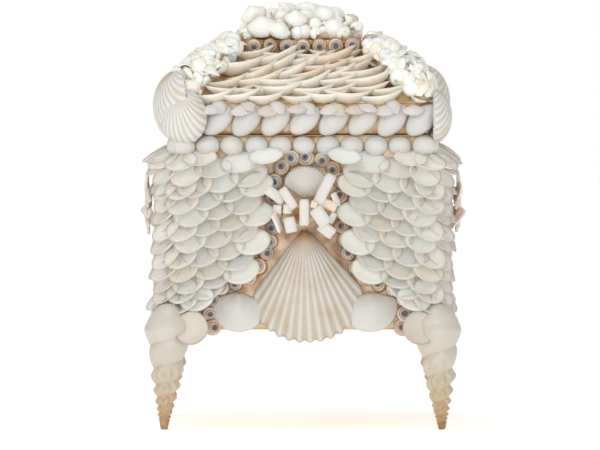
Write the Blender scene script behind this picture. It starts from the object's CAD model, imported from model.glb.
# A square casket covered in white sea shells, on four spire-shell feet, with a loose crowned lid.
# Sizes are in millimetres and MM turns them into Blender's metres. The front faces -Y.
import math
import random

import bmesh
import bpy
from mathutils import Matrix, Vector, noise
from mathutils.geometry import interpolate_bezier


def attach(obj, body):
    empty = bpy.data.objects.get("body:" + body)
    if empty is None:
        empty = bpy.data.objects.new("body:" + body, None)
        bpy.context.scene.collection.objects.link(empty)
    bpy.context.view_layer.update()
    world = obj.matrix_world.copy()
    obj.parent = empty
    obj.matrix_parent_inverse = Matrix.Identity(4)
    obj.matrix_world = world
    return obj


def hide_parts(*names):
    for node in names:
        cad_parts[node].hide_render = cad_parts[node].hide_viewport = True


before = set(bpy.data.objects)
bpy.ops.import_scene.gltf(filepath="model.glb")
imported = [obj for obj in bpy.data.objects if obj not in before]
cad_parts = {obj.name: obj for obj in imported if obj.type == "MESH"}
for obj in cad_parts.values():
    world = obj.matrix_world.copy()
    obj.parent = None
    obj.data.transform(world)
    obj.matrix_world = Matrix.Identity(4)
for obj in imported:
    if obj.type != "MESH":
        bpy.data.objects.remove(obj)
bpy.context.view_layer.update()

MM = 0.001

# The view: a nearly level camera far off, as a long lens sees the casket, over a pale floor under
# a white sky, with one very large soft light in front, a small one above and one at the left.
IMAGE_WIDTH_PX = 600
MM_PER_PX = 0.832
CAMERA_AWAY = 9000
CAMERA_LIFT_DEG = 2.0
AIM = Vector((-2.5, 0, 166.4))
SENSOR_WIDTH = 36
FRONT_OUT = 110
FRONT_AWAY = CAMERA_AWAY - FRONT_OUT


def add_object(name, data):
    """Adds an object to the scene."""
    thing = bpy.data.objects.new(name, data)
    bpy.context.scene.collection.objects.link(thing)
    return thing


eye = Vector((0, -math.cos(math.radians(CAMERA_LIFT_DEG)), math.sin(math.radians(CAMERA_LIFT_DEG))))
camera_data = bpy.data.cameras.new("long_lens")
camera_data.sensor_width = SENSOR_WIDTH
camera_data.lens = SENSOR_WIDTH * FRONT_AWAY / (IMAGE_WIDTH_PX * MM_PER_PX)
camera_data.clip_start, camera_data.clip_end = 0.5, 60
camera = add_object("long_lens", camera_data)
camera.location = (AIM + eye * CAMERA_AWAY) * MM
camera.rotation_euler = (-eye).to_track_quat("-Z", "Y").to_euler()
bpy.context.scene.camera = camera


def linear(hex_colour):
    """An sRGB hex colour as linear red, green, blue and alpha."""
    parts = [int(hex_colour[i : i + 2], 16) / 255 for i in (1, 3, 5)]
    return (*[c / 12.92 if c <= 0.04045 else ((c + 0.055) / 1.055) ** 2.4 for c in parts], 1)


def soft_light(name, place, size, watts):
    """A square soft light that faces the middle of the casket. Place and size are in mm."""
    data = bpy.data.lights.new(name, "AREA")
    data.size = size * MM
    data.energy = watts
    lamp = add_object(name, data)
    lamp.location = Vector(place) * MM
    lamp.rotation_euler = (AIM - Vector(place)).to_track_quat("-Z", "Y").to_euler()


soft_light("front_light", (0, -2600, 600), 1800, 23)
soft_light("top_light", (-200, -350, 1300), 500, 2.4)
soft_light("left_light", (-1300, -900, 700), 500, 2)

SKY_SEEN = 1.0
SKY_LIGHT = 0.58
world = bpy.data.worlds.new("white_room")
world.use_nodes = True
bpy.context.scene.world = world
bpy.context.scene.view_settings.view_transform = "Standard"


def feed(material, node, feeds):
    """Gives a node's sockets their values: a plain value, or another node's output."""
    for socket, value in feeds:
        if isinstance(value, bpy.types.NodeSocket):
            material.node_tree.links.new(value, node.inputs[socket])
        else:
            node.inputs[socket].default_value = value


def add_node(material, kind, feeds=(), stops=(), out=0, **settings):
    """Adds a node with its settings, feeds and ramp stops (place, hex), and gives one output."""
    node = material.node_tree.nodes.new("ShaderNode" + kind)
    for name, value in settings.items():
        setattr(node, name, value)
    feed(material, node, feeds)
    while len(stops) > len(node.color_ramp.elements if stops else ()):
        node.color_ramp.elements.new(1)
    for i, (place, hex_colour) in enumerate(stops):
        node.color_ramp.elements[i].position = place
        node.color_ramp.elements[i].color = linear(hex_colour)
    return node.outputs[out]


# The sky looks white to the camera, and lights the casket at a little over half that, so that the
# soft light in front fills the gaps between the shells as in a studio.
seen = add_node(world, "LightPath", out="Is Camera Ray")
sky = add_node(world, "MapRange", [("Value", seen), ("To Min", SKY_LIGHT), ("To Max", SKY_SEEN)])
feed(world, world.node_tree.nodes["Background"], [("Color", linear("#FFFFFF")), ("Strength", sky)])


def new_material(name, roughness, ior=1.5, coat=0.0):
    """A bare material and its shader."""
    material = bpy.data.materials.new(name)
    material.use_nodes = True
    shader = material.node_tree.nodes["Principled BSDF"]
    feed(material, shader, [("Roughness", roughness), ("IOR", ior), ("Coat Weight", coat)])
    return material, shader


def keep_mesh(shape, name):
    """Turns a finished bmesh into a mesh."""
    mesh = bpy.data.meshes.new(name)
    shape.to_mesh(mesh)
    shape.free()
    return mesh


# Matt white backdrop paper, lit from behind: no gloss, and only the casket's soft shadow shows.
PAPER_GLOW = 0.42
FLOOR_HALF = 40000
paper, paper_shader = new_material("white_paper", 0.9)
white = linear("#FFFFFF")
paper_glow = [("Emission Color", white), ("Emission Strength", PAPER_GLOW)]
feed(paper, paper_shader, [("Base Color", white), *paper_glow])
floor_mesh = bmesh.new()
bmesh.ops.create_grid(floor_mesh, x_segments=1, y_segments=1, size=FLOOR_HALF * MM)
floor = add_object("floor", keep_mesh(floor_mesh, "floor"))
floor.data.materials.append(paper)

# The casket itself: a thin-walled box and a lid with four slopes and a low block, of bare birch,
# glued at the corners and left unpainted inside and below.
BOX_HALF = 104
BOX_BASE_Z = 83
RIM_Z = 245
LID_Z = 245.3
LID_BAND_TOP_Z = 271.3
ROOF_Z = 311.3
LID_TOP_HALF = 52
BLOCK_HALF = 48
BLOCK_TOP_Z = 323.3

# Sanded birch: dull, with a fine straight grain along the boards.
GRAIN_MM = 45
GRAIN_NARROWING = 9
GRAIN_DEPTH = 0.15
birch, birch_shader = new_material("bare_birch", 0.62)
board_place = add_node(birch, "TexCoord", out="Object")
stretched = add_node(birch, "Mapping", [("Vector", board_place), ("Scale", (1, 1, GRAIN_NARROWING))])
grain = add_node(
    birch, "TexNoise",
    [("Vector", stretched), ("Scale", 1 / (GRAIN_MM * MM)), ("Detail", 7.0), ("Distortion", 1.2)],
)
birch_colour = add_node(
    birch, "ValToRGB", [("Fac", grain)], [(0.3, "#B98F5E"), (0.5, "#D2AD7C"), (0.72, "#E0C296")]
)
birch_bump = add_node(birch, "Bump", [("Height", grain), ("Distance", GRAIN_DEPTH * MM)])
feed(birch, birch_shader, [("Base Color", birch_colour), ("Normal", birch_bump)])
for node in ("box_carcass", "lid_carcass"):
    board = bpy.data.objects[node]
    board.data.materials.clear()
    board.data.materials.append(birch)

# The joint under the lid: the rims of the box and the lid are stained dark, and show as a thin dark
# line all round, inside the open groove between them.
GROOVE_HALF = 103.4
GROOVE_THICK = 2
GROOVE_LOW_Z = 244.9
GROOVE_HIGH_Z = 246.5

# Dark stained wood: nearly black and quite dull.
stained, stained_shader = new_material("dark_stained_wood", 0.8)
feed(stained, stained_shader, [("Base Color", linear("#2E2119"))])
groove = bmesh.new()
for half in (GROOVE_HALF, GROOVE_HALF - GROOVE_THICK):
    corners = [(-half, -half), (half, -half), (half, half), (-half, half)]
    loop = [groove.verts.new((x, y, GROOVE_LOW_Z)) for x, y in corners]
    for a, b in zip(loop, loop[1:] + loop[:1]):
        groove.edges.new((a, b))
bmesh.ops.bridge_loops(groove, edges=groove.edges[:])
ring = bmesh.ops.extrude_face_region(groove, geom=groove.faces[:])
lifted = [part for part in ring["geom"] if isinstance(part, bmesh.types.BMVert)]
bmesh.ops.translate(groove, verts=lifted, vec=(0, 0, GROOVE_HIGH_Z - GROOVE_LOW_Z))
bmesh.ops.recalc_face_normals(groove, faces=groove.faces[:])
groove.transform(Matrix.Scale(MM, 4))
lid_joint = add_object("lid_joint", keep_mesh(groove, "lid_joint"))
lid_joint.data.materials.append(stained)
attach(lid_joint, "root")

# Glue: the shells are pressed into a thick bed of clear glue that has yellowed to tan and brown,
# over the walls, the lid's band and slopes, and the block under the crown.
GLUE_THICK = 1.3
GLUE_LIFT = 0.4
GLUE_SWELL_LENGTH = 6.0
GLUE_COLUMNS = 60

# Aged clear glue: glossy and lumpy, pale where it is thin and brown where it is thick.
GLUE_LUMP_MM = 16
glue, glue_shader = new_material("yellowed_glue", 0.32, ior=1.49, coat=0.3)
glue_place = add_node(glue, "TexCoord", out="Object")
blots = add_node(
    glue, "TexNoise", [("Vector", glue_place), ("Scale", 1 / (GLUE_LUMP_MM * MM)), ("Detail", 4.0)]
)
glue_colour = add_node(
    glue, "ValToRGB", [("Fac", blots)],
    [(0.32, "#8A5F34"), (0.42, "#B48C5C"), (0.52, "#D0B288"), (0.66, "#DFCCAC")],
)
glue_bump = add_node(glue, "Bump", [("Height", blots), ("Distance", GLUE_THICK * MM)])
feed(glue, glue_shader, [("Base Color", glue_colour), ("Normal", glue_bump)])


def stray(dice, most):
    """A random number from -most to most."""
    return dice.uniform(-most, most)


def shift(x, y, z):
    """A move by x, y and z mm."""
    return Matrix.Translation((x, y, z))


def roll(axis, degrees):
    """A turn about an axis through the origin."""
    return Matrix.Rotation(math.radians(degrees), 4, axis)


def bent_grid(columns, rows, place, thickness=0.0):
    """A shell's wall as a mesh: a grid whose u runs across and v outwards, bent by place(u, v)."""
    wall = bmesh.new()
    growth = wall.loops.layers.uv.new("growth")
    wall.verts.layers.float.new("tone")
    bmesh.ops.create_grid(wall, x_segments=columns, y_segments=rows, size=0.5)
    for face in wall.faces:
        face.smooth = True
        for loop in face.loops:
            loop[growth].uv = (loop.vert.co.x + 0.5, loop.vert.co.y + 0.5)
    for vert in wall.verts:
        vert.co = place(vert.co.x + 0.5, vert.co.y + 0.5)
    bmesh.ops.remove_doubles(wall, verts=wall.verts, dist=0.01)
    bmesh.ops.recalc_face_normals(wall, faces=wall.faces)
    if thickness:
        bmesh.ops.solidify(wall, geom=wall.faces[:], thickness=thickness)
        bmesh.ops.recalc_face_normals(wall, faces=wall.faces)
    return keep_mesh(wall, "pattern")


def new_heap():
    """An empty mesh that takes copies of the shells' patterns."""
    heap = bmesh.new()
    heap.loops.layers.uv.new("growth")
    heap.verts.layers.float.new("tone")
    return heap


def lay(heap, pattern, place, size=1, tone=0.5, material=0):
    """Lays one copy of a pattern in a heap, with a size and a tone of 0 to 1 for its own shade."""
    first_vert, first_face = len(heap.verts), len(heap.faces)
    heap.from_mesh(pattern)
    heap.verts.ensure_lookup_table()
    heap.faces.ensure_lookup_table()
    new_verts = heap.verts[first_vert:]
    bmesh.ops.transform(heap, matrix=place @ Matrix.Scale(size, 4), verts=new_verts)
    shade = heap.verts.layers.float["tone"]
    for vert in new_verts:
        vert[shade] = tone
    for face in heap.faces[first_face:]:
        face.smooth = True
        face.material_index = material


def finish_piece(heap, name, materials, stands_for=(), quarter=0):
    """Makes a heap an object, turned a number of quarters from the front to its own side."""
    heap.transform(Matrix.Scale(MM, 4) @ roll("Z", 90 * quarter))
    piece = add_object(name, keep_mesh(heap, name))
    for material in materials:
        piece.data.materials.append(material)
    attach(piece, "root")
    if stands_for:
        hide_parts(*stands_for)


def glue_sheet(corners, columns, rows):
    """A lumpy sheet of glue between four corners, from lower left to upper left."""
    low_left, low_right, high_right, high_left = [Vector(c) for c in corners]
    out = (low_right - low_left).cross(high_left - low_left).normalized()

    def place(u, v):
        flat = low_left.lerp(low_right, u).lerp(high_left.lerp(high_right, u), v)
        edge = min(u, 1 - u, v, 1 - v)
        lump = 0.5 + 0.5 * noise.noise(flat / GLUE_SWELL_LENGTH)
        return flat + out * (GLUE_LIFT + (GLUE_THICK * lump if edge > 0 else 0))

    return bent_grid(columns, rows, place, thickness=GLUE_LIFT / 2)


def ring_of_glue(name, low_half, low_z, high_half, high_z, rows):
    """Four sheets of glue round the casket, each between two heights."""
    heap = new_heap()
    sheet = glue_sheet(
        (
            (-low_half, -low_half, low_z),
            (low_half, -low_half, low_z),
            (high_half, -high_half, high_z),
            (-high_half, -high_half, high_z),
        ),
        GLUE_COLUMNS,
        rows,
    )
    for quarter in range(4):
        lay(heap, sheet, roll("Z", 90 * quarter))
    finish_piece(heap, name, [glue])


ring_of_glue("box_glue", BOX_HALF, BOX_BASE_Z + 0.5, BOX_HALF, RIM_Z - 0.5, 46)
ring_of_glue("lid_band_glue", BOX_HALF, LID_Z + 1.5, BOX_HALF, LID_BAND_TOP_Z, 8)
ring_of_glue("lid_slope_glue", BOX_HALF, LID_BAND_TOP_Z, LID_TOP_HALF, ROOF_Z, 20)
ring_of_glue("lid_block_glue", BLOCK_HALF, ROOF_Z, BLOCK_HALF, BLOCK_TOP_Z, 5)

# Feet: four spire shells set point down in the corners. Each coils round its axis in whorls that
# shrink by a constant ratio; the upper whorls are smooth and cream, the lower knobbly and tan.
FOOT_HEIGHT = 106
FOOT_RADIUS = 18.8
FOOT_TIP_RADIUS = 2.6
FOOT_WIDEST_Z = 82
FOOT_OFFSET = 112
FOOT_SPLAY_DEG = 2.6
WHORL_RATIO = 0.73
WHORL_SEAM_Z = 59
LAST_SEAM_Z = 92
KNOBS_FROM_Z = 57
KNOBS_PER_TURN = 9
KNOB_SHARE = 0.2
KNOB_FADE = 12
SEAM_SHARE = 0.2
SEAM_FADE = 10
WEAR_DEPTH = 0.4
WEAR_LENGTH = 9
FOOT_TURN_DEG = 70
TURN = 2 * math.pi


def fade(start, end, at):
    """From 0 at the start to 1 at the end, and flat beyond them."""
    return min(max((at - start) / (end - start), 0), 1)


def foot_point(u, v):
    """The spire shell standing on its tip: u runs round it and v up it, in one closed coil."""
    angle = TURN * u
    z = FOOT_HEIGHT * v**1.25
    taper = FOOT_TIP_RADIUS + (FOOT_RADIUS - FOOT_TIP_RADIUS) * min(z / FOOT_WIDEST_Z, 1)
    turns = math.log(max(z, 1.2) / WHORL_SEAM_Z) / math.log(WHORL_RATIO) + u
    swell = math.sin(math.pi * (turns - math.floor(turns)))
    seam = SEAM_SHARE * fade(LAST_SEAM_Z, LAST_SEAM_Z - SEAM_FADE, z) * (1 - swell**0.6)
    knobby = fade(KNOBS_FROM_Z, KNOBS_FROM_Z - KNOB_FADE, z) * swell**2
    knobs = 1 + KNOB_SHARE * knobby * math.cos(KNOBS_PER_TURN * angle)
    over = max(0.0, (z - FOOT_WIDEST_Z) / (FOOT_HEIGHT - FOOT_WIDEST_Z))
    full = 1.02 + 0.05 * fade(KNOBS_FROM_Z, FOOT_WIDEST_Z, z)
    radius = taper * (full - seam) * knobs * math.sqrt(max(1 - over**1.4, 0))
    radius += WEAR_DEPTH * noise.noise(Vector((math.cos(angle) * 2, math.sin(angle) * 2, z / WEAR_LENGTH)))
    radius = 0 if v in (0, 1) else max(radius, 0.4)
    return Vector((radius * math.cos(angle), radius * math.sin(angle), z))


# Spire shell: porcelain-like and half dull, cream above and rubbed down to orange-brown at its tip.
SPIRE_SPOT_MM = 7
spire, spire_shader = new_material("spire_shell", 0.42, ior=1.55, coat=0.15)
spire_place = add_node(spire, "TexCoord", out="Object")
spire_up = add_node(spire, "SeparateXYZ", [("Vector", spire_place)], out="Z")
spire_spots = add_node(
    spire, "TexNoise", [("Vector", spire_place), ("Scale", 1 / (SPIRE_SPOT_MM * MM)), ("Detail", 5.0)]
)
spire_height = add_node(spire, "MapRange", [("Value", spire_up), ("From Max", FOOT_HEIGHT * MM)])
spire_mixed = add_node(
    spire, "MixRGB", [("Fac", 0.3), ("Color1", spire_height), ("Color2", spire_spots)]
)
spire_colour = add_node(
    spire, "ValToRGB", [("Fac", spire_mixed)],
    [(0.16, "#94703F"), (0.24, "#B59467"), (0.36, "#BDAC90"), (0.52, "#C4BAA9"), (0.75, "#C8C2B6")],
)
spire_bump = add_node(spire, "Bump", [("Height", spire_spots), ("Distance", 0.5 * MM)])
feed(spire, spire_shader, [("Base Color", spire_colour), ("Normal", spire_bump)])

spire_pattern = bent_grid(54, 120, foot_point)
FOOT_CORNERS = ("front_left", "front_right", "back_right", "back_left")
for quarter, corner in enumerate(FOOT_CORNERS):
    foot = new_heap()
    splay = (
        shift(-FOOT_OFFSET, -FOOT_OFFSET, FOOT_WIDEST_Z)
        @ roll("Y", FOOT_SPLAY_DEG)
        @ roll("X", -FOOT_SPLAY_DEG)
        @ shift(0, 0, -FOOT_WIDEST_Z)
    )
    lay(foot, spire_pattern, splay @ roll("Z", FOOT_TURN_DEG * quarter))
    finish_piece(foot, f"{corner}_spire_foot", [spire], [f"foot_{corner}"], quarter)

# Curtains: thin white cup shells, glued like roof tiles with the hollow side outwards and the
# lower lip standing out, in rows that sink towards the corners. Chalky, with a bright thin lip.
SIDES = ("front", "right", "back", "left")
MOTIF_X = 4
CURTAIN_TOP_Z = 222
CURTAIN_BOTTOM_Z = 81
ROW_SLOPE_DEG = 12
CUP_WIDTH = 31
CUP_LENGTH = 28
CUP_DEPTH = 5
CUP_PITCH = 22
CUP_ROW_PITCH = 11.8
CUP_TILT_DEG = 40
TOP_CUP_TILT_DEG = 58
CUP_OVERHANG = 13
CORNER_TURN_FROM = 88
CORNER_TURN_DEG = 33
FOOT_CLEARANCE = 16.5
FOOT_CUP_TILT_DEG = 12
CUP_TURN_DEG = 15
# the cups' spin in the wall's plane, at an x near the arch and added to it up to the corner
INNER_SPIN_X = 30
INNER_SPIN_DEG = -20
ADDED_SPIN_DEG = 32
CUP_STRAY_DEG = 5
CUP_STRAY = 1
INNER_STAND_OFF = 6
OTHER_STAND_OFF = 1
HIGHEST_CUP_Z = 230
LOWEST_CUP_Z = 85
TOP_CUPS_FROM_Z = 217

# Chalky white shell: matt, a little duller and warmer towards the hinge, bright at the thin lip.
CHALK_MM = 4
CHALK_DEPTH_MM = 0.16
RING_MM = 1.6
RING_DEPTH_MM = 0.03
SHELL_GLOW = 0.25
SHELL_GLOW_MM = 3


def white_shell_finish(name, growth_stops, roughness=0.42):
    """White shell, coloured from hinge to lip (or back to top) by stops, with faint growth rings."""
    material, shader = new_material(name, roughness, ior=1.53, coat=0.08)
    surface = add_node(material, "UVMap", uv_map="growth")
    out = add_node(material, "SeparateXYZ", [("Vector", surface)], out="Y")
    tone = add_node(material, "Attribute", attribute_name="tone", out="Fac")
    by_growth = add_node(material, "ValToRGB", [("Fac", out)], growth_stops)
    by_tone = add_node(
        material, "ValToRGB", [("Fac", tone)],
        [(0.0, "#D9D4CB"), (0.08, "#F8EBDB"), (0.35, "#FDFAF5"), (0.7, "#FFFFFF"), (1.0, "#F5F8FA")],
    )
    tinted = add_node(
        material, "MixRGB", [("Fac", 1.0), ("Color1", by_growth), ("Color2", by_tone)],
        blend_type="MULTIPLY",
    )
    place = add_node(material, "TexCoord", out="Object")
    chalk = add_node(
        material, "TexNoise", [("Vector", place), ("Scale", 1 / (CHALK_MM * MM)), ("Detail", 3.0)]
    )
    ring_waves = TURN * CUP_LENGTH / 2 / RING_MM
    rings = add_node(material, "Math", [(0, out), (1, ring_waves)], operation="MULTIPLY")
    ripple = add_node(material, "Math", [(0, rings)], operation="SINE")
    ringed = add_node(material, "Bump", [("Height", ripple), ("Distance", RING_DEPTH_MM * MM)])
    bump = add_node(
        material, "Bump", [("Height", chalk), ("Distance", CHALK_DEPTH_MM * MM), ("Normal", ringed)]
    )
    glow = [("Subsurface Weight", SHELL_GLOW), ("Subsurface Scale", SHELL_GLOW_MM * MM)]
    feed(material, shader, [("Base Color", tinted), ("Normal", bump), *glow])
    return material


cup_shell = white_shell_finish(
    "chalky_cup_shell",
    [(0.0, "#F9F6F0"), (0.5, "#F7F4EE"), (0.9, "#F2EEE8"), (1.0, "#CFC9BE")], roughness=0.6,
)
BOWL_NARROWING = 0.2
BOWL_WAVE = 0.3
CUP_THICK = 0.6


def bowl(width, length, depth, thickness, upturn=0.0, cells=6):
    """A shallow oval bowl: a grid drawn out to an oval, hollowed, waved, its tips raised, and
    thickened."""
    wall = bmesh.new()
    growth = wall.loops.layers.uv.new("growth")
    wall.verts.layers.float.new("tone")
    bmesh.ops.create_grid(wall, x_segments=cells, y_segments=cells, size=1)
    for vert in wall.verts:
        x, y, _ = vert.co
        x, y = x * math.sqrt(1 - y * y / 2), y * math.sqrt(1 - x * x / 2)
        narrow = 1 - BOWL_NARROWING * max(y, 0) ** 2
        reach = min(x * x + y * y, 1)
        wave = BOWL_WAVE * reach * math.sin(4 * x + 3 * y)
        rise = upturn * x * x - depth * (1 - reach**1.15) + wave
        vert.co = (x * narrow * width / 2, y * length / 2, rise)
    for face in wall.faces:
        face.smooth = True
        for loop in face.loops:
            x, y, _ = loop.vert.co
            grown = math.hypot(2 * x / width, 2 * y / length)
            loop[growth].uv = (0.5, min(grown, 1))
    bmesh.ops.recalc_face_normals(wall, faces=wall.faces)
    bmesh.ops.solidify(wall, geom=wall.faces[:], thickness=thickness)
    bmesh.ops.recalc_face_normals(wall, faces=wall.faces)
    return keep_mesh(wall, "bowl")


cup_pattern = bowl(CUP_WIDTH, CUP_LENGTH, CUP_DEPTH, CUP_THICK)

# the arch's bends from its crown to its foot: x from the middle, and height over the curtains' top
ARCH_POINTS = (
    (0, 3), (17, 2), (27, -15), (28, -44), (33, -72),
    (49, -97), (67, -102), (79, -113), (82, -125), (79, -137),
)


def arch_line(steps_between=24):
    """Half of the arch of button shells as points, from its crown down the right side."""
    knots = [Vector((x, CURTAIN_TOP_Z + drop, 0)) for x, drop in ARCH_POINTS]
    padded = [knots[0] - (knots[1] - knots[0]), *knots, knots[-1] + (knots[-1] - knots[-2])]
    line = []
    for a, b, c, d in zip(padded, padded[1:], padded[2:], padded[3:]):
        line += interpolate_bezier(b, b + (c - a) / 6, c - (d - b) / 6, c, steps_between)[:-1]
    return [*line, knots[-1]]


def evenly(line, pitch):
    """Points along a line, about a pitch apart."""
    lengths = [0.0]
    for a, b in zip(line, line[1:]):
        lengths.append(lengths[-1] + (b - a).length)
    count = round(lengths[-1] / pitch)
    spaced = []
    for i in range(count + 1):
        want = lengths[-1] * i / count
        k = min(sum(reached < want for reached in lengths), len(line) - 1)
        spaced.append(line[k])
    return spaced


HALF_ARCH = arch_line()


def arch_half_width(z):
    """How far the arch reaches to the side at a height, or above it."""
    return max((p.x for p in HALF_ARCH if p.y >= z), default=0)


def on_wall(x, z, out, spin=0, tip=0, turn=0):
    """Places a shell on the front wall: hinge up, lip down, outer side towards the viewer."""
    return (
        shift(x, -BOX_HALF - out, z) @ roll("X", 90) @ roll("Y", turn) @ roll("X", -tip)
        @ roll("Z", spin)
    )


def curtain_places(dice, foot_clearance):
    """Where one curtain's cups hang, lowest first: x, z, stand-off, spin, tip, turn and if worn.

    Cups beside the top of a foot stand out by foot_clearance, so that they pass in front of it.
    """
    places = []
    sink = math.tan(math.radians(ROW_SLOPE_DEG))
    outer = BOX_HALF - 1
    first_row = -math.ceil(outer * sink / CUP_ROW_PITCH)
    rows = math.ceil((CURTAIN_TOP_Z - CURTAIN_BOTTOM_Z) / CUP_ROW_PITCH)
    for row in range(first_row, rows + 1):
        row_z = CURTAIN_TOP_Z + CUP_LENGTH / 5 - row * CUP_ROW_PITCH
        inner = arch_half_width(min(row_z, CURTAIN_TOP_Z - 1)) + CUP_OVERHANG
        x = inner + (CUP_PITCH / 2 if row % 2 else 0)
        while x < outer + CUP_PITCH * 0.6:
            across = min(x, outer)
            z = row_z - (across - inner) * sink
            spin = INNER_SPIN_DEG + ADDED_SPIN_DEG * (across - INNER_SPIN_X) / (outer - INNER_SPIN_X)
            spin += stray(dice, CUP_STRAY_DEG)
            low = z < FOOT_HEIGHT - CUP_LENGTH / 7
            behind_foot = low and across > FOOT_OFFSET - 0.7 * FOOT_RADIUS
            if LOWEST_CUP_Z < z < HIGHEST_CUP_Z and not behind_foot:
                tip = TOP_CUP_TILT_DEG if z > TOP_CUPS_FROM_Z else CUP_TILT_DEG
                beside_foot = low and across > FOOT_OFFSET - 2 * FOOT_RADIUS and foot_clearance > 0
                tip = FOOT_CUP_TILT_DEG if beside_foot else tip
                tip += stray(dice, CUP_STRAY_DEG)
                stand = CUP_LENGTH / 2 * math.sin(math.radians(tip))
                stand += INNER_STAND_OFF if x == inner else OTHER_STAND_OFF
                stand += foot_clearance if beside_foot else 0
                near_corner = max(0, across - CORNER_TURN_FROM) / (outer - CORNER_TURN_FROM)
                turn = CUP_TURN_DEG + (CORNER_TURN_DEG - CUP_TURN_DEG) * near_corner
                hung_x = across + stray(dice, CUP_STRAY)
                hung_z = z + stray(dice, CUP_STRAY)
                places.append((hung_x, hung_z, stand, spin, tip, turn, beside_foot))
            x += CUP_PITCH
    return sorted(places, key=lambda place: place[1])


for quarter, side in enumerate(SIDES):
    for hand, hand_name in ((-1, "left"), (1, "right")):
        dice = random.Random(10 * quarter + hand)
        curtain = new_heap()
        clearance = FOOT_CLEARANCE if side in ("front", "back") else 0
        for x, z, stand, spin, tip, turn, worn in curtain_places(dice, clearance):
            place = on_wall(MOTIF_X / 2 + hand * x, z, stand, hand * spin, tip, hand * turn)
            size = dice.uniform(0.96, 1.08)
            tone = 0 if worn else dice.uniform(0.3, 0.95)
            lay(curtain, cup_pattern, place, size, tone)
        finish_piece(
            curtain, f"{side}_{hand_name}_cup_curtain", [cup_shell],
            [f"{side}_curtain_{hand_name}"], quarter,
        )

# Button border: small flat spiral snails, glued point outwards along the bell-shaped arch. Each
# is tan or peach outside, with a white turn inside and a blue-grey eye.
BUTTON_RADIUS = 6.9
BUTTON_HEIGHT = 7
BUTTON_PITCH = 12.2
BUTTON_STRAY = 0.8
BUTTON_STRAY_DEG = 14
BACK_SHARE = 0.2

# Button-top shells: polished by the sea, a tan or peach band outside a white one, grey at the eye.
BUTTON_TURNS = 2.6
button, button_shader = new_material("banded_button_shell", 0.34, ior=1.55, coat=0.2)
button_surface = add_node(button, "UVMap", uv_map="growth")
button_around, button_out, _ = add_node(button, "SeparateXYZ", [("Vector", button_surface)]).node.outputs
button_tone = add_node(button, "Attribute", attribute_name="tone", out="Fac")
coil = add_node(
    button, "Math", [(0, button_out), (1, BUTTON_TURNS), (2, button_around)], operation="MULTIPLY_ADD"
)
coil_step = add_node(button, "Math", [(0, coil)], operation="FRACT")
bands = add_node(
    button, "ValToRGB", [("Fac", button_out)],
    [
        (0.3, "#B08E6C"), (0.52, "#D3B795"), (0.62, "#F4EEE4"),
        (0.7, "#8D898C"), (0.79, "#CFCBC8"), (0.87, "#6E6A70"), (0.97, "#332F31"),
    ],
)
seams = add_node(
    button, "ValToRGB", [("Fac", coil_step)],
    [(0.0, "#A4917F"), (0.12, "#FFFFFF"), (0.85, "#FFFAF2"), (1.0, "#B4A392")],
)
seamed = add_node(
    button, "MixRGB", [("Fac", 0.6), ("Color1", bands), ("Color2", seams)], blend_type="MULTIPLY"
)
button_tints = add_node(
    button, "ValToRGB", [("Fac", button_tone)],
    [(0.0, "#F2CFB4"), (0.35, "#FFEFDD"), (0.7, "#F7F3EC"), (1.0, "#D2D4DA")],
)
button_colour = add_node(
    button, "MixRGB", [("Fac", 0.8), ("Color1", seamed), ("Color2", button_tints)],
    blend_type="MULTIPLY",
)
button_bump = add_node(button, "Bump", [("Height", coil_step), ("Distance", 0.3 * MM)])
feed(button, button_shader, [("Base Color", button_colour), ("Normal", button_bump)])


def button_point(u, v):
    """From the middle of the flat back, round the rim, to the point of the spiral."""
    angle = TURN * u
    if v < BACK_SHARE:
        radius, height = BUTTON_RADIUS * v / BACK_SHARE * 0.92, 0
    else:
        rise = (v - BACK_SHARE) / (1 - BACK_SHARE)
        radius = BUTTON_RADIUS * math.cos(rise * math.pi / 2) ** 0.8
        height = BUTTON_HEIGHT * (0.18 + 0.82 * math.sin(rise * math.pi / 2) ** 1.1)
        radius *= 1 + 0.04 * math.sin(TURN * (BUTTON_TURNS * v + u))
    return Vector((radius * math.cos(angle), radius * math.sin(angle), height))


button_pattern = bent_grid(14, 8, button_point)
for quarter, side in enumerate(SIDES):
    dice = random.Random(40 + quarter)
    border = new_heap()
    half = evenly(HALF_ARCH, BUTTON_PITCH)
    for x, z in [(-p.x, p.y) for p in half[:0:-1]] + [(p.x, p.y) for p in half]:
        place = on_wall(
            MOTIF_X + x + stray(dice, BUTTON_STRAY),
            z + stray(dice, BUTTON_STRAY), 0.5, dice.uniform(0, 360),
            stray(dice, BUTTON_STRAY_DEG),
            stray(dice, BUTTON_STRAY_DEG),
        )
        size = dice.uniform(0.92, 1.14)
        lay(border, button_pattern, place, size, dice.random())
    finish_piece(
        border, f"{side}_button_border", [button], [f"{side}_button_arch"], quarter
    )

# Scallops: a large ribbed scallop hangs in the arch by a hinge stained yellow, under a small one
# with fine ribs that stands on its point. Cream ribs, tan furrows, both glued on.
SCALLOP_X = 1
SCALLOP_LENGTH = 96
SCALLOP_DEPTH = 20
SCALLOP_SPREAD_DEG = 40.5
SCALLOP_SHORTEN = 0.284
SCALLOP_RIBS = 15
SCALLOP_UMBO_Z = 169
SCALLOP_SPIN_DEG = 3
CREST_LENGTH = 27.5
CREST_DEPTH = 8
CREST_SPREAD_DEG = 62
CREST_RIBS = 24
CREST_UMBO_Z = 192
CREST_STAND_OFF = 9
CREST_SPIN_DEG = 172
FAN_ROUNDING = 2.6


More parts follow.
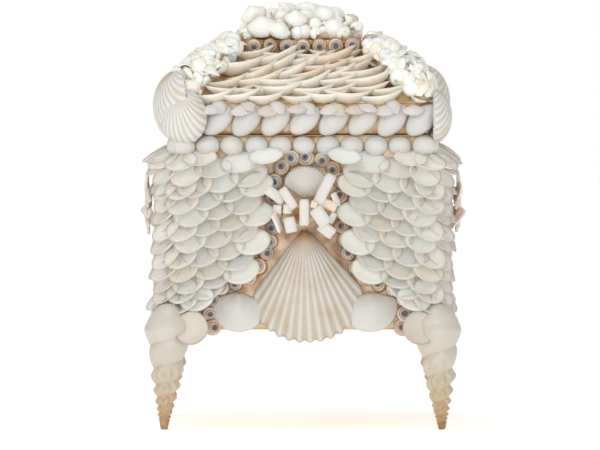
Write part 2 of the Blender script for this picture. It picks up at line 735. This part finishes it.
def fan_point(length, depth, spread_deg, ribs, rib_height, shorten, flute=0.0):
    """A fan-shaped shell: hinge point at the origin, lip towards -Y, bulging to +Z."""

    def place(u, v):
        share = 2 * u - 1
        angle = share * math.radians(spread_deg)
        out = 0.05 + 0.95 * v
        ridge = math.cos(TURN * ribs * (u - 0.5 / ribs))
        radius = length * out * (1 - shorten * abs(share) ** FAN_ROUNDING)
        radius *= 1 + flute * ridge * max(v - 0.8, 0) * 5
        dome = math.sin(math.pi * min(out * 0.8 + 0.14, 1)) * (1 - 0.8 * share**2)
        height = 1 + depth * dome + rib_height * out * (0.5 + 0.5 * ridge) * (1 - share**8)
        return Vector((radius * math.sin(angle), -radius * math.cos(angle), height))

    return place


# Ribbed shell: half dull, paler on the ribs, with warm grey furrows and a yellow or tan hinge.
STAIN_MM = 22


def ribbed_finish(name, ribs, rib_hex, furrow_hex, hinge_hex):
    """Ribbed shell, from the colours of its ribs, its furrows and its hinge."""
    material, shader = new_material(name, 0.45, ior=1.53, coat=0.06)
    surface = add_node(material, "UVMap", uv_map="growth")
    across, out, _ = add_node(material, "SeparateXYZ", [("Vector", surface)]).node.outputs
    place = add_node(material, "TexCoord", out="Object")
    stain = add_node(
        material, "TexNoise", [("Vector", place), ("Scale", 1 / (STAIN_MM * MM)), ("Detail", 4.0)]
    )
    rib_turn = add_node(material, "Math", [(0, across), (1, TURN * ribs)], operation="MULTIPLY")
    wave = add_node(material, "Math", [(0, rib_turn)], operation="COSINE")
    share = add_node(material, "MapRange", [("Value", wave), ("From Min", -1.0)])
    by_rib = add_node(material, "ValToRGB", [("Fac", share)], [(0.1, rib_hex), (0.9, furrow_hex)])
    by_growth = add_node(
        material, "ValToRGB", [("Fac", out)],
        [(0.02, hinge_hex), (0.1, "#F4EAD6"), (0.25, "#FFFFFF"), (1.0, "#FFFFFF")],
    )
    both = add_node(
        material, "MixRGB", [("Fac", 1.0), ("Color1", by_rib), ("Color2", by_growth)],
        blend_type="MULTIPLY",
    )
    by_stain = add_node(material, "ValToRGB", [("Fac", stain)], [(0.3, "#F1E4CE"), (0.5, "#FFFFFF")])
    stained = add_node(
        material, "MixRGB", [("Fac", 0.7), ("Color1", both), ("Color2", by_stain)],
        blend_type="MULTIPLY",
    )
    bump = add_node(material, "Bump", [("Height", stain), ("Distance", 0.3 * MM)])
    feed(material, shader, [("Base Color", stained), ("Normal", bump)])
    return material


scallop_shell = ribbed_finish("cream_scallop_shell", SCALLOP_RIBS, "#CFC9BF", "#BFB4A4", "#D2A766")
fine_scallop_shell = ribbed_finish(
    "fine_ribbed_scallop_shell", CREST_RIBS, "#D3CFC9", "#C8C2B8", "#EDE4D4"
)
scallop_pattern = bent_grid(
    SCALLOP_RIBS * 8, 30,
    fan_point(
        SCALLOP_LENGTH, SCALLOP_DEPTH, SCALLOP_SPREAD_DEG, SCALLOP_RIBS,
        rib_height=2.2, shorten=SCALLOP_SHORTEN, flute=0.012,
    ),
    thickness=1.6,
)
crest_pattern = bent_grid(
    CREST_RIBS * 5, 12,
    fan_point(
        CREST_LENGTH, CREST_DEPTH, CREST_SPREAD_DEG, CREST_RIBS,
        rib_height=0.6, shorten=0.26, flute=0.01,
    ),
    thickness=1.0,
)
for quarter, side in enumerate(SIDES):
    scallop = new_heap()
    lay(scallop, scallop_pattern, on_wall(SCALLOP_X, SCALLOP_UMBO_Z, 0.3, SCALLOP_SPIN_DEG))
    finish_piece(
        scallop, f"{side}_scallop", [scallop_shell], [f"{side}_large_scallop"], quarter
    )
    crest = new_heap()
    lay(crest, crest_pattern, on_wall(SCALLOP_X, CREST_UMBO_Z, CREST_STAND_OFF, CREST_SPIN_DEG))
    finish_piece(
        crest, f"{side}_crest_scallop", [fine_scallop_shell],
        [f"{side}_small_scallop"], quarter,
    )

# Bow: strips sawn from a thick ribbed shell, laid as loops and tails round a knot and stuck with
# brown glue. Porcelain-like, white and softly ribbed outside, and peach on the inner side.
OUTER_FACE = 0.25
INNER_FACE = 0.5
STRIP_THICK = 2.6
STRIP_RIB = 0.25
BOW_Z = 181
KNOT_STAND_OFF = 9.5
KNOT_HALF_X = 12
KNOT_HALF_Z = 9.5
KNOT_HALF_DEPTH = 9
bow_strip = white_shell_finish(
    "sawn_ribbed_shell",
    [
        (0.0, "#D6D2CB"), (OUTER_FACE, "#D6D2CB"), (OUTER_FACE + 0.02, "#EDE6DC"),
        (INNER_FACE, "#EDE6DC"), (INNER_FACE + 0.02, "#E3CCBB"), (0.74, "#E3CCBB"), (0.76, "#EDE6DC"),
    ],
    roughness=0.4,
)
BOW_STRIPS = (
    # x and z from the casket's middle and the floor, stand-off, length, width, spin, turn, curl
    (1, 181.4, 27.5, 22, 8, 90, 0, 0.0),
    (-23, 195.6, 26, 19, 8.5, -36, 18, 0.25),
    (-12.2, 193.2, 26.5, 20, 7.5, -57, 0, 0.25),
    (-21.4, 183.9, 25.5, 7.5, 7, 84, -14, 0.0),
    (-13, 184.2, 26, 8, 7, 88, 14, 0.0),
    (-21.6, 173.2, 25, 20, 7, -48, 62, 0.15),
    (-10.6, 171, 26.5, 13, 9.5, -78, 0, 0.2),
    (17.6, 199.5, 25, 30, 9, 64, -8, 0.3),
    (9.2, 188, 26.5, 6, 6, 20, 180, 0.0),
    (21.6, 187.6, 25.5, 13, 8, 22, 170, 0.2),
    (27, 192, 25.5, 12, 5, -66, 30, 0.2),
    (14.6, 178, 27.5, 17, 11.5, -55, 0, 0.15),
    (24.2, 177, 25, 9.5, 5, 58, 30, 0.0),
    (19.6, 167, 25.5, 14, 10, -38, 0, 0.2),
)


def strip_point(length, width, curl):
    """A closed bar of shell, bent along its length. v runs round the bar, u along it."""

    def place(u, v):
        end = u in (0, 1)
        angle = TURN * (v + 1 / 8)
        across, deep = math.cos(angle), math.sin(angle)
        square = max(abs(across), abs(deep))
        across, deep = across / square, deep / square
        if end:
            across, deep = across * 0.82, deep * 0.5
        x = (u - 0.5) * length
        bend = curl * length * (0.25 - (u - 0.5) ** 2)
        rib = STRIP_RIB * math.cos(across * 9) if deep > 0.9 else 0
        return Vector((x, across * width / 2, deep * STRIP_THICK / 2 + bend + rib))

    return place


def closed(mesh):
    """Fills the open ends or the open back of a pattern, so that it is solid."""
    whole = bmesh.new()
    whole.from_mesh(mesh)
    bmesh.ops.holes_fill(whole, edges=[e for e in whole.edges if e.is_boundary], sides=0)
    bmesh.ops.recalc_face_normals(whole, faces=whole.faces)
    whole.to_mesh(mesh)
    whole.free()
    return mesh


def knot_point(u, v):
    """A lump of glue under the bow, from its back to its front."""
    round_it = math.sin(math.pi * v)
    lump = noise.noise(Vector((math.cos(TURN * u) * 2, math.sin(TURN * u) * 2, v * 5)))
    return Vector((
        (KNOT_HALF_X + 2 * lump) * round_it * math.cos(TURN * u),
        (KNOT_HALF_Z + 2 * lump) * round_it * math.sin(TURN * u),
        -KNOT_HALF_DEPTH * math.cos(math.pi * v),
    ))


for quarter, side in enumerate(SIDES):
    bow = new_heap()
    for x, z, out, length, width, spin, turn, curl in BOW_STRIPS:
        pattern = closed(bent_grid(10, 16, strip_point(length, width, curl)))
        lay(bow, pattern, on_wall(x, z, out, spin, 0, turn), tone=0.6)
    knot = bent_grid(20, 12, knot_point)
    lay(bow, knot, on_wall(SCALLOP_X, BOW_Z, KNOT_STAND_OFF), material=1)
    finish_piece(bow, f"{side}_shell_bow", [bow_strip, glue], [f"{side}_bow"], quarter)

# Cockles: a plump white shell in each lower corner beside the scallop, glued by its rim. Its ribs
# are worn nearly smooth.
COCKLE_LENGTH = 34
COCKLE_DEPTH = 11
COCKLE_SPREAD_DEG = 72
COCKLE_X = 54
COCKLE_TOP_Z = 115
COCKLE_SPIN_DEG = 6

# Sea-worn cockle: half dull and cool white, a little greyer at the hinge than at the lip.
cockle_shell = white_shell_finish(
    "worn_white_cockle",
    [(0.0, "#C9C1B3"), (0.3, "#CAC7C1"), (0.9, "#CFCCC7"), (1.0, "#DAD8D3")], roughness=0.45,
)
cockle_pattern = bent_grid(
    24, 14,
    fan_point(COCKLE_LENGTH, COCKLE_DEPTH, COCKLE_SPREAD_DEG, ribs=18, rib_height=0.25, shorten=0.36),
    thickness=1.2,
)
for quarter, side in enumerate(SIDES):
    for hand, hand_name in ((-1, "left"), (1, "right")):
        cockle = new_heap()
        lay(
            cockle, cockle_pattern,
            on_wall(SCALLOP_X + hand * COCKLE_X, COCKLE_TOP_Z, 0.3, hand * COCKLE_SPIN_DEG), tone=0.7,
        )
        finish_piece(
            cockle, f"{side}_{hand_name}_white_cockle", [cockle_shell],
            [f"{side}_cockle_{hand_name}"], quarter,
        )

# Bean row: smooth plump white shells, side by side along the top of the box, each with its flat
# back in the glue.
BEAN_WIDTH = 20.2
BEAN_HEIGHT = 16.4
BEAN_DEPTH = 9
BEAN_PITCH = 20
BEAN_START_X = -99
BEAN_COUNT = 11
BEAN_Z = 236.2
BEAN_STRAY = 0.7

# Smooth white shell: faintly glossy and cool white, its flat back hidden in the glue.
smooth_shell = white_shell_finish(
    "polished_white_shell",
    [(0.15, "#CDBDA4"), (0.28, "#D6CFC3"), (0.5, "#D6D2CB"), (1.0, "#D3D1CE")], roughness=0.36,
)


def plump_point(width, length, height, squareness=1.0):
    """A closed plump shell with a flat back, from the middle of its back to its top."""

    def place(u, v):
        angle = TURN * u
        if v < BACK_SHARE:
            reach, rise = v / BACK_SHARE * 0.9, 0
        else:
            share = (v - BACK_SHARE) / (1 - BACK_SHARE)
            reach = math.cos(share * math.pi / 2) ** 0.75
            rise = math.sin(share * math.pi / 2) ** 0.9
        x = math.copysign(abs(math.cos(angle)) ** squareness, math.cos(angle))
        y = math.copysign(abs(math.sin(angle)) ** squareness, math.sin(angle))
        return Vector((x * reach * width / 2, y * reach * length / 2, rise * height))

    return place


bean_pattern = bent_grid(24, 10, plump_point(BEAN_WIDTH, BEAN_HEIGHT, BEAN_DEPTH, squareness=0.9))
for quarter, side in enumerate(SIDES):
    dice = random.Random(60 + quarter)
    beans = new_heap()
    for i in range(BEAN_COUNT):
        x = BEAN_START_X + BEAN_PITCH * i + stray(dice, BEAN_STRAY)
        place = on_wall(x, BEAN_Z, 0.3, stray(dice, 7), stray(dice, 4))
        size = dice.uniform(0.95, 1.03)
        lay(beans, bean_pattern, place, size, dice.uniform(0.4, 1))
    finish_piece(
        beans, f"{side}_bean_shells", [smooth_shell], [f"{side}_bean_row"], quarter
    )

# Lid band: larger smooth ovals that lean to the right, glued as the bean row is, with two chips of
# rough shell over each gap.
OVAL_LENGTH = 33
OVAL_WIDTH = 20.5
OVAL_DEPTH = 8.6
OVAL_SLANT_DEG = 45
OVAL_PITCH = 24.2
OVAL_START_X = -71
OVAL_COUNT = 8
OVAL_Z = 257.2
CHIP_Z = 269
CHIP_LENGTH = 14
CHIP_STAND_OFF = 6
CHIP_SHIFT = -9
CHIP_ASIDES = (-7, 2)
CHIP_FAN_DEG = 8
CHIP_STRAY_DEG = 25

oval_pattern = bent_grid(24, 10, plump_point(OVAL_WIDTH, OVAL_LENGTH, OVAL_DEPTH, squareness=1.08))
chip_pattern = bent_grid(
    27, 6,
    fan_point(CHIP_LENGTH, depth=3, spread_deg=62, ribs=9, rib_height=1.0, shorten=0.25, flute=0.04),
    thickness=0.9,
)
for quarter, side in enumerate(SIDES):
    dice = random.Random(80 + quarter)
    band = new_heap()
    for i in range(OVAL_COUNT):
        x = OVAL_START_X + OVAL_PITCH * i
        place = on_wall(x, OVAL_Z, 0.3, -90 + OVAL_SLANT_DEG + stray(dice, 4))
        size = dice.uniform(0.97, 1.02)
        lay(band, oval_pattern, place, size, dice.uniform(0.4, 1))
        for aside in CHIP_ASIDES:
            chip_spin = aside * CHIP_FAN_DEG + stray(dice, CHIP_STRAY_DEG)
            chip_x = x + CHIP_SHIFT + aside
            chip = on_wall(chip_x, CHIP_Z, CHIP_STAND_OFF, chip_spin, dice.uniform(45, 65))
            lay(band, chip_pattern, chip, tone=dice.uniform(0.1, 0.9))
    finish_piece(
        band, f"{side}_slanting_ovals", [smooth_shell], [f"{side}_lid_band_shells"], quarter
    )

# Lid slopes: long thin cup shells laid level, hollow side up, in rows up each slope. From the
# front each shows as a boat, its right tip lifted over the next one.
BOAT_WIDTH = 50
BOAT_LENGTH = 24
BOAT_DEPTH = 9.6
BOAT_PITCH = 23
BOAT_ROW_PITCH = 9.3
BOAT_RISE_DEG = 6
BOAT_UPTURN = 4
BOAT_THICK = 0.8
BOAT_OUT = 5
BOAT_LIFT = 4
FIRST_ROW_UP = 0.7
ROW_STAGGER = 0.25
# size and lean in degrees of each row's shells, from the lowest row
BOAT_ROWS = ((0.8, -5), (0.85, -7), (0.92, -12), (0.98, -18), (1.0, -14), (1.0, -13), (0.88, -5))

# Ivory cup shell: half glossy, tan at the hinge and nearly white at the thin lip.
boat_shell = white_shell_finish(
    "ivory_cup_shell", [(0.0, "#D6C9B0"), (0.5, "#DFD4C0"), (0.85, "#E6DFD0"), (1.0, "#F2ECE2")]
)
boat_pattern = bowl(BOAT_WIDTH, BOAT_LENGTH, BOAT_DEPTH, BOAT_THICK, BOAT_UPTURN)
slope_angle = math.atan2(ROOF_Z - LID_BAND_TOP_Z, BOX_HALF - LID_TOP_HALF)
slope_length = math.hypot(ROOF_Z - LID_BAND_TOP_Z, BOX_HALF - LID_TOP_HALF)
for quarter, side in enumerate(SIDES):
    dice = random.Random(100 + quarter)
    boats = new_heap()
    rows = int(slope_length / BOAT_ROW_PITCH)
    for row in range(rows):
        up = BOAT_ROW_PITCH * (row + FIRST_ROW_UP)
        row_size, row_lean = BOAT_ROWS[row % len(BOAT_ROWS)]
        y = -BOX_HALF + up * math.cos(slope_angle) - BOAT_OUT
        z = LID_BAND_TOP_Z + up * math.sin(slope_angle) + BOAT_LIFT - BOAT_DEPTH * (1 - row_size)
        half = BOX_HALF + (LID_TOP_HALF - BOX_HALF) * up / slope_length
        count = round((2 * half - BOAT_WIDTH) / BOAT_PITCH) + 1
        for i in range(count):
            x = (i - (count - 1) / 2 + (ROW_STAGGER if row % 2 else -ROW_STAGGER)) * BOAT_PITCH
            lean = row_lean + stray(dice, 7)
            place = (
                shift(x + stray(dice, 4), y + stray(dice, 1), z + stray(dice, 1.5))
                @ roll("Y", lean) @ roll("X", -BOAT_RISE_DEG + stray(dice, 4))
                @ roll("Z", stray(dice, 8))
            )
            size = row_size * dice.uniform(0.88, 1.1)
            lay(boats, boat_pattern, place, size, dice.uniform(0.1, 0.8))
    finish_piece(
        boats, f"{side}_slope_cups", [boat_shell], [f"{side}_lid_slope_shells"], quarter
    )

# Corner cockles: one or two large ribbed cockles on each corner of the lid, glued by the rim with
# the point up and turned outwards. White, with a fine furrow between every two ribs.
CORNER_LENGTH = 46
CORNER_WIDTH = 42
CORNER_DEPTH = 16
CORNER_RIBS = 22
CORNER_FAN_DEG = 84
CORNER_VALVES = (
    # x, height over the lid's edge, stand-off, turn, spin, size: the front valve, then the outer
    (-101, 38, 4, -24, 6, 1.0),
    (-103, 54, -7, -74, -4, 1.3),
)


def cockle_point(u, v):
    """A plump ribbed valve: its point at the origin, lip towards -Y, bulging to +Z."""
    across = math.sin(math.radians(CORNER_FAN_DEG) * (2 * u - 1))
    along = math.cos(math.radians(CORNER_FAN_DEG) * (2 * u - 1))
    half_width, half_length = CORNER_WIDTH / 2, CORNER_LENGTH / 2
    rim = 2 * along / (half_length * ((across / half_width) ** 2 + (along / half_length) ** 2))
    ridge = 0.5 + 0.5 * math.cos(TURN * CORNER_RIBS * (u - 0.5 / CORNER_RIBS))
    reach = rim * math.sin(v * math.pi / 2) * (1 + 0.01 * ridge * max(v - 0.8, 0) * 5)
    x, y = reach * across, -reach * along
    inside = 1 - (x / half_width) ** 2 - (y / half_length + 1) ** 2
    return Vector((x, y, CORNER_DEPTH * max(inside, 0) ** 0.55 + 1.0 * v * ridge))


# Ribbed cockle: half dull and white, greyer in the furrows and cream at the point.
corner_shell = ribbed_finish("white_ribbed_cockle", CORNER_RIBS, "#DAD8D4", "#C3BDB4", "#EEE4D4")
corner_pattern = closed(bent_grid(CORNER_RIBS * 6, 20, cockle_point))
for quarter, side in enumerate(SIDES):
    corner = new_heap()
    for x, rise, out, turn, spin, size in CORNER_VALVES[:1] if side == "right" else CORNER_VALVES:
        place = on_wall(x, LID_Z + rise, out, spin, 0, 0 if side == "right" else turn)
        lay(corner, corner_pattern, place, size, 0.6)
    finish_piece(
        corner, f"{side}_corner_shell", [corner_shell], [f"{side}_lid_corner_cockle"], quarter
    )

# Hips: moon snails, little cockles and rough broken whorls, heaped along each hip of the lid on a
# ridge of glue. The shells are worn and half glossy, in whites, creams and a few peach ones.
HIP_COUNT = 105
HIP_SIDES_DEG = (0, 64, -64, 32, -96, 96, -32)
HIP_START = -0.2
HIP_RUN = 1.2
HIP_FOOT_DROP = 30
HIP_LOW_RADIUS = 18
HIP_TOP_RADIUS = 12
HIP_INSET = 10
HIP_RISE = 17
HIP_SINK = 9
HIP_SHELL_RADII = (7, 11)
HIP_LUMP_EVERY = 7
HIP_LUMP_SHARE = 0.62
SNAIL_TURNS = 2.4
TUBE_SHARE = 0.62


def snail_point(u, v):
    """A round coiled shell of about unit radius: v runs along the coil, u round its tube."""
    grown = math.exp(1.9 * (v - 1))
    turn = TURN * SNAIL_TURNS * v
    ring = TURN * u
    tube = TUBE_SHARE * grown * (0.02 if v == 0 else 1)
    reach = 0.42 * grown + tube * math.cos(ring)
    height = 0.55 * (1 - grown) + tube * 0.92 * math.sin(ring)
    return Vector((reach * math.cos(turn), reach * math.sin(turn), height))


def rough_point(u, v):
    """The same coil, broken and lumpy."""
    return snail_point(u, v) * (1 + 0.2 * noise.noise(Vector((9 * u, 26 * v, 3))))


snail_pattern = closed(bent_grid(8, 24, snail_point))
rough_whorl = closed(bent_grid(8, 24, rough_point))
little_cockle = bent_grid(
    32, 6,
    fan_point(length=1.9, depth=0.9, spread_deg=60, ribs=8, rib_height=0.07, shorten=0.3, flute=0.01),
    thickness=0.08,
)
little_cockle.transform(shift(0, 1, -0.5))
# Worn sea shells of many kinds: half glossy, white, and a little peach where they are oldest.
mixed_shell = white_shell_finish(
    "mixed_sea_shells",
    [(0.0, "#EFE2D2"), (0.25, "#F4EFE6"), (0.6, "#F7F3EC"), (1.0, "#F8F5EE")], roughness=0.38,
)


def ball_point(u, v):
    """A closed ball of unit radius."""
    ring = math.sin(math.pi * v)
    around = TURN * u
    return Vector((ring * math.cos(around), ring * math.sin(around), -math.cos(math.pi * v)))


ball_pattern = bent_grid(16, 10, ball_point)
HIP_PATTERNS = (snail_pattern, ball_pattern, snail_pattern, little_cockle, rough_whorl)


def any_turn(dice):
    """A turn in any direction."""
    first, tip, last = dice.uniform(0, 360), dice.uniform(0, 180), dice.uniform(0, 360)
    return roll("Z", first) @ roll("X", tip) @ roll("Z", last)


for quarter, side in enumerate(SIDES):
    dice = random.Random(120 + quarter)
    hip = new_heap()
    for i in range(HIP_COUNT):
        share = HIP_RUN * (i + 0.5) / HIP_COUNT + HIP_START
        spread = HIP_LOW_RADIUS + (HIP_TOP_RADIUS - HIP_LOW_RADIUS) * share
        spread *= math.sqrt(min(1, (share + 0.3) / 0.4))
        run = LID_TOP_HALF - BOX_HALF + HIP_INSET + HIP_TOP_RADIUS / 2
        middle = BOX_HALF - HIP_INSET + run * share
        z = LID_BAND_TOP_Z + HIP_RISE + (ROOF_Z - LID_BAND_TOP_Z - HIP_SINK) * share
        z += HIP_FOOT_DROP * min(share, 0)
        if i % HIP_LUMP_EVERY == 3:
            lump = shift(-middle, -middle, z - spread * 0.3)
            lay(hip, ball_pattern, lump, spread * HIP_LUMP_SHARE, material=1)
        side_deg = HIP_SIDES_DEG[i % len(HIP_SIDES_DEG)] + stray(dice, 10)
        size = dice.uniform(*HIP_SHELL_RADII) * (1 - 0.25 * share)
        reach = spread - size * TUBE_SHARE
        aside = reach * math.sin(math.radians(side_deg)) * math.sqrt(0.5)
        lift = reach * math.cos(math.radians(side_deg))
        point = (-middle + aside - lift * 0.3, -middle - aside - lift * 0.3, z + lift * 0.8)
        pattern = HIP_PATTERNS[dice.randrange(len(HIP_PATTERNS))]
        flatter = Matrix.Diagonal((size, 0.85 * size, 0.75 * size, 1))
        lay(hip, pattern, shift(*point) @ any_turn(dice) @ flatter, tone=dice.uniform(0.1, 1))
    finish_piece(
        hip, f"{side}_hip_heap", [mixed_shell, glue], [f"{side}_lid_hip_shells"], quarter
    )

# Crown: a row of banded buttons round the block, and a heap of moon snails, cockles and whorls on
# top of it, the largest snail in the middle.
CROWN_BUTTON_COUNT = 7
CROWN_BUTTON_OUT = 1.5
CROWN_LOW_Z = 323.6
HERO_TIP_DEG = 65

crown_row = new_heap()
dice = random.Random(140)
for quarter in range(4):
    for i in range(CROWN_BUTTON_COUNT):
        x = -BLOCK_HALF + 2 * BLOCK_HALF / CROWN_BUTTON_COUNT * (i + 0.5)
        place = roll("Z", 90 * quarter) @ shift(x, -BLOCK_HALF - CROWN_BUTTON_OUT, ROOF_Z + BUTTON_RADIUS)
        lay(
            crown_row, button_pattern,
            place @ roll("X", 90 + stray(dice, 10)) @ roll("Z", dice.uniform(0, 360)),
            dice.uniform(0.95, 1.05), dice.random() * 0.6,
        )
finish_piece(crown_row, "crown_button_row", [button], ["lid_crown_buttons"])

CROWN_RINGS = (
    # count, reach, height over the block, radius
    (18, 44, 5, 8),
    (14, 40, 13, 9),
    (10, 27, 18, 10),
    (5, 12, 22, 10),
)
CROWN_HEROES = (
    # pattern, x, y, z, radius, spin to the side, tone: what shows from the front
    ("snail", 4.4, -10, 344, 13, 20, 0.8),
    ("ball", 2, -22, 341, 8, 0, 0.9),
    ("ribbed", -6, -41, 338.5, 8.5, 0, 0.8),
    ("snail", -17, -14, 346, 9, -30, 0.6),
    ("ball", -18, -26, 342, 6, 0, 0.7),
    ("ribbed", -41, -24, 341, 9.5, 30, 0.6),
    ("ribbed", -34, -42, 331, 11, 10, 0.8),
    ("snail", -48, -30, 333, 8.5, -60, 0.3),
    ("ball", -4.4, -46, 329, 6.5, 0, 0.9),
    ("snail", -13, -42, 334.5, 6.5, 60, 0.1),
    ("ball", 10, -42, 336.5, 5.5, 0, 0.6),
    ("snail", 11.5, -47, 329, 7, 120, 0.5),
    ("snail", 26.6, -22, 341, 10, 200, 0.7),
    ("ball", 26, -40, 332, 9, 0, 0.9),
    ("rough", 40, -28, 337, 9, 0, 0.0),
    ("rough", 35, -46, 328.5, 7.5, 90, 0.3),
    ("snail", 46, -40, 333, 7, 40, 0.5),
    ("ribbed", -20, -47, 329, 8.5, -30, 0.5),
    ("rough", -47, -46, 327.5, 7, 30, 0.4),
)
CROWN_PATTERNS = {
    "snail": snail_pattern,
    "ball": ball_pattern,
    "ribbed": little_cockle,
    "rough": rough_whorl,
}
RING_PATTERNS = (snail_pattern, snail_pattern, rough_whorl, ball_pattern)
MOUND_HALF = 45
MOUND_HEIGHT = 21

crown = new_heap()
mound = bent_grid(40, 14, plump_point(2 * MOUND_HALF, 2 * MOUND_HALF, MOUND_HEIGHT, squareness=0.6))
lay(crown, mound, shift(0, 0, CROWN_LOW_Z), material=1)
for count, reach, height, radius in CROWN_RINGS:
    for i in range(count):
        angle = TURN * (i + 0.5) / count
        square = 1 / max(abs(math.cos(angle)), abs(math.sin(angle)))
        far = reach * (0.55 * square + 0.45)
        x, y = far * math.cos(angle), far * math.sin(angle)
        pattern = RING_PATTERNS[dice.randrange(len(RING_PATTERNS))]
        size = radius * dice.uniform(0.8, 1.0)
        spot = shift(x, y, CROWN_LOW_Z + height + stray(dice, 2))
        lay(crown, pattern, spot @ any_turn(dice), size, dice.uniform(0.3, 1))
for kind, x, y, z, radius, spin, tone in CROWN_HEROES:
    facing = shift(x, y, z) @ roll("X", HERO_TIP_DEG) @ roll("Z", spin)
    lay(crown, CROWN_PATTERNS[kind], facing, radius, tone)
finish_piece(crown, "crown_shell_heap", [mixed_shell, glue], ["lid_crown_cluster"])
